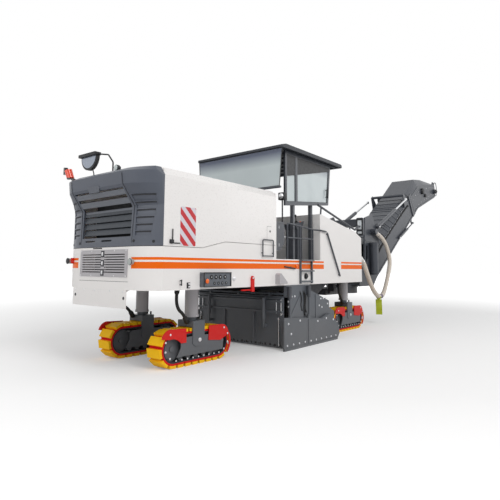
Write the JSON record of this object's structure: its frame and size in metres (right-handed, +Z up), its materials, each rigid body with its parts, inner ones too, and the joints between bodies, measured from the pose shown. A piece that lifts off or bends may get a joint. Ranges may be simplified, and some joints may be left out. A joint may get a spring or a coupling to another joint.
{
  "type": "cold planer milling machine on four tracks",
  "caption": "Self-propelled cold planer on four steered tracks, with a milling drum, an opening engine hood, an operator canopy and a slewing, lifting and folding discharge conveyor.",
  "frame": {"origin": "on the ground below the middle of the machine with its conveyor", "axes": "+X forward along the conveyor, +Y left, +Z up"},
  "size_m": [15.035, 2.5798, 4.973],
  "materials": {
    "white_panel": "gloss paint",
    "frame_grey": "satin paint",
    "dark_plastic": "satin",
    "louvre_grey": "satin paint",
    "engine": "matt",
    "glass": "tinted",
    "red_paint": "gloss paint",
    "pad_yellow": "matt",
    "lamp": "clear",
    "rod_steel": "polished",
    "hose_cloth": "matt"
  },
  "bodies": {
    "machine": {"chassis_frame": "frame_grey", "rear_skirt": "white_panel", "rear_louvre": "louvre_grey", "rear_plate": "white_panel", "engine_block": "engine", "cooler_pack": "engine", "bulkhead": "white_panel", "side_sills": "white_panel", "front_body": "white_panel", "platform_deck": "frame_grey", "leg_sleeves": "frame_grey", "drum_housing": "frame_grey", "plate_cylinders": "frame_grey", "canopy_roof": "dark_plastic", "canopy_frame": "frame_grey", "canopy_glass": "glass", "platform_rails": "frame_grey", "front_rails": "frame_grey", "access_ladders": "frame_grey", "operator_consoles": "dark_plastic", "control_boxes": "dark_plastic", "lifting_eyes": "red_paint", "rear_lamps": "lamp", "primary_conveyor": "frame_grey", "conveyor_console": "frame_grey"},
    "hood": {"engine_hood": "white_panel", "rear_hood": "dark_plastic", "grille_slats": "dark_plastic", "hood_mirror": "frame_grey", "hood_beacon": "lamp"},
    "rear_right_leg": {"track_rear_right": "pad_yellow", "track_frame_rear_right": "frame_grey", "track_guards_rear_right": "red_paint"},
    "rear_left_leg": {"track_rear_left": "pad_yellow", "track_frame_rear_left": "frame_grey", "track_guards_rear_left": "red_paint"},
    "front_right_leg": {"track_front_right": "pad_yellow", "track_frame_front_right": "frame_grey", "track_guards_front_right": "red_paint"},
    "front_left_leg": {"track_front_left": "pad_yellow", "track_frame_front_left": "frame_grey", "track_guards_front_left": "red_paint"},
    "drum": {"milling_drum": "frame_grey"},
    "right_side_plate": {"side_plate_right": "frame_grey"},
    "left_side_plate": {"side_plate_left": "frame_grey"},
    "scraper": {"scraper_blade": "frame_grey"},
    "mast": {"slewing_mast": "frame_grey", "dust_hose": "hose_cloth"},
    "trunk": {"conveyor_trunk": "frame_grey"},
    "head": {"conveyor_head": "frame_grey"},
    "stay_barrel_pair": {"stay_barrels": "frame_grey"},
    "stay_rod_pair": {"stay_rods": "rod_steel"}
  },
  "joints": [
    {"name": "rear_right_steer", "type": "hinge", "parent": "machine", "child": "rear_right_leg", "pos_m": [-6.045, -0.645, 0.79], "axis": [0, 0, 1], "range_deg": [-25, 25]},
    {"name": "rear_left_steer", "type": "hinge", "parent": "machine", "child": "rear_left_leg", "pos_m": [-6.045, 0.645, 0.79], "axis": [0, 0, 1], "range_deg": [-25, 25]},
    {"name": "front_right_steer", "type": "hinge", "parent": "machine", "child": "front_right_leg", "pos_m": [-0.735, -0.645, 0.79], "axis": [0, 0, 1], "range_deg": [-25, 25]},
    {"name": "front_left_steer", "type": "hinge", "parent": "machine", "child": "front_left_leg", "pos_m": [-0.735, 0.645, 0.79], "axis": [0, 0, 1], "range_deg": [-25, 25]},
    {"name": "drum_spin", "type": "hinge", "parent": "machine", "child": "drum", "pos_m": [-3.37, 0, 0.57], "axis": [0, 1, 0], "continuous": true},
    {"name": "hood_open", "type": "hinge", "parent": "machine", "child": "hood", "pos_m": [-4.375, 0, 2.985], "axis": [0, 1, 0], "range_deg": [0, 45]},
    {"name": "right_side_plate_raise", "type": "slide", "parent": "machine", "child": "right_side_plate", "axis": [0, 0, 1], "range_m": [0, 0.33]},
    {"name": "left_side_plate_raise", "type": "slide", "parent": "machine", "child": "left_side_plate", "axis": [0, 0, 1], "range_m": [0, 0.33]},
    {"name": "scraper_open", "type": "hinge", "parent": "machine", "child": "scraper", "pos_m": [-4.055, 0, 1.04], "axis": [0, 1, 0], "range_deg": [0, 85]},
    {"name": "conveyor_slew", "type": "hinge", "parent": "machine", "child": "mast", "pos_m": [0.43, 0, 1.05], "axis": [0, 0, 1], "range_deg": [-60, 60], "deforming": ["dust_hose"]},
    {"name": "conveyor_lift", "type": "hinge", "parent": "mast", "child": "trunk", "pos_m": [1.1, 0, 1.45], "axis": [0, -1, 0], "range_deg": [-28, 3]},
    {"name": "conveyor_fold", "type": "hinge", "parent": "trunk", "child": "head", "pos_m": [4.90149, 0, 3.41792], "axis": [0, 1, 0], "range_deg": [0, 150]},
    {"name": "stay_swing", "type": "hinge", "parent": "mast", "child": "stay_barrel_pair", "pos_m": [1.43, 0, 2.76], "axis": [0, -1, 0], "range_deg": [-34, 5]},
    {"name": "stay_extend", "type": "slide", "parent": "stay_barrel_pair", "child": "stay_rod_pair", "axis": [0.9059, 0, 0.4234], "range_m": [-0.085, 0.624]}
  ],
  "couplings": [
    {"joint": "rear_left_steer", "follows": "rear_right_steer", "ratio": 1},
    {"joint": "front_left_steer", "follows": "front_right_steer", "ratio": 1},
    {"joint": "stay_swing", "follows": "conveyor_lift", "ratio": 1.1782},
    {"joint": "stay_extend", "follows": "conveyor_lift", "m_per_rad": -1.2351}
  ]
}
